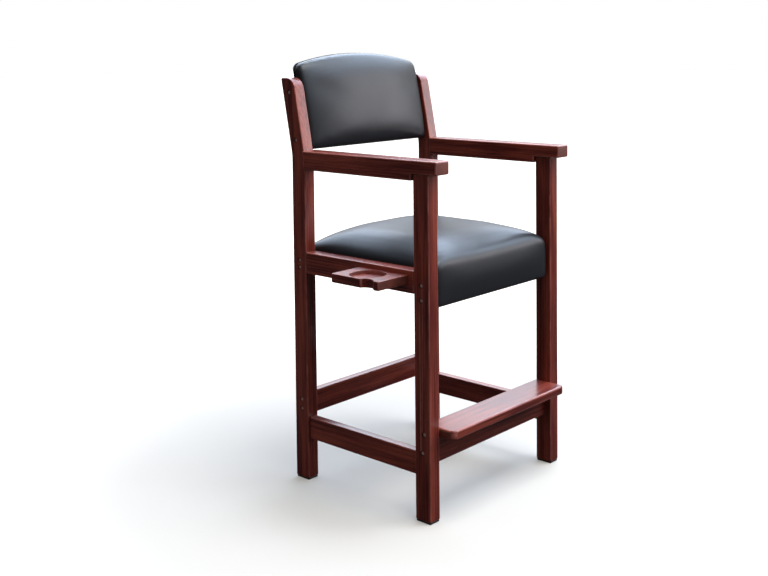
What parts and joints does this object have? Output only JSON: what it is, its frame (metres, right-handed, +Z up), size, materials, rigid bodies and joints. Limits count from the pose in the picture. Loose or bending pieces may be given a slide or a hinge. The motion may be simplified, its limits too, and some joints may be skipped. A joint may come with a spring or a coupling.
{
  "type": "billiard spectator chair",
  "caption": "Tall dark wood spectator chair with black padded seat and back, armrests, footrest and a side drink tray with a cue notch.",
  "frame": {"origin": "centre of the whole outline, drink tray included, on the floor", "axes": "+Z up; the chair faces -Y; -X is the sitter's right, where the drink tray is"},
  "size_m": [0.7034, 0.608, 1.2209],
  "materials": {
    "stained_wood": "dark red mahogany stain under semi-gloss lacquer",
    "black_leather": "smooth black faux leather, semi-gloss",
    "birch_plywood": "raw plywood",
    "frame_lumber": "raw sawn boards",
    "bronzed_steel": "bronzed hex socket bolts",
    "zinc_steel": "zinc plated",
    "black_plastic": "hard plastic glides",
    "black_cloth": "thin dust cloth"
  },
  "bodies": {
    "root": {"right_front_post": "stained_wood", "left_front_post": "stained_wood", "right_rear_post": "stained_wood", "left_rear_post": "stained_wood", "right_armrest": "stained_wood", "left_armrest": "stained_wood", "right_seat_rail": "stained_wood", "left_seat_rail": "stained_wood", "right_side_stretcher": "stained_wood", "left_side_stretcher": "stained_wood", "rear_stretcher": "stained_wood", "front_stretcher": "stained_wood", "footrest_board": "stained_wood", "drink_tray": "stained_wood", "seat_cushion": "black_leather", "back_cushion": "black_leather", "outside_back": "black_leather", "back_board": "birch_plywood", "seat_deck": "birch_plywood", "seat_front_rail": "frame_lumber", "seat_rear_rail": "frame_lumber", "right_seat_batten": "frame_lumber", "left_seat_batten": "frame_lumber", "seat_dust_cover": "black_cloth", "right_front_glide": "black_plastic", "left_front_glide": "black_plastic", "right_rear_glide": "black_plastic", "left_rear_glide": "black_plastic", "right_seat_front_bolt_1": "bronzed_steel", "right_seat_front_bolt_2": "bronzed_steel", "left_seat_front_bolt_1": "bronzed_steel", "left_seat_front_bolt_2": "bronzed_steel", "right_seat_rear_bolt_1": "bronzed_steel", "right_seat_rear_bolt_2": "bronzed_steel", "left_seat_rear_bolt_1": "bronzed_steel", "left_seat_rear_bolt_2": "bronzed_steel", "right_rear_stretcher_bolt_1": "bronzed_steel", "right_rear_stretcher_bolt_2": "bronzed_steel", "left_rear_stretcher_bolt_1": "bronzed_steel", "left_rear_stretcher_bolt_2": "bronzed_steel", "right_front_stretcher_bolt_1": "bronzed_steel", "left_front_stretcher_bolt_1": "bronzed_steel", "right_footrest_bolt_1": "bronzed_steel", "left_footrest_bolt_1": "bronzed_steel", "right_back_bolt_1": "bronzed_steel", "right_back_bolt_2": "bronzed_steel", "left_back_bolt_1": "bronzed_steel", "left_back_bolt_2": "bronzed_steel", "right_rear_stretcher_nut_1": "zinc_steel", "right_rear_stretcher_nut_2": "zinc_steel", "left_rear_stretcher_nut_1": "zinc_steel", "left_rear_stretcher_nut_2": "zinc_steel", "right_front_stretcher_nut_1": "zinc_steel", "left_front_stretcher_nut_1": "zinc_steel", "right_footrest_nut_1": "zinc_steel", "left_footrest_nut_1": "zinc_steel", "tray_screw_1": "zinc_steel", "tray_screw_2": "zinc_steel", "tray_screw_3": "zinc_steel"}
  },
  "joints": []
}
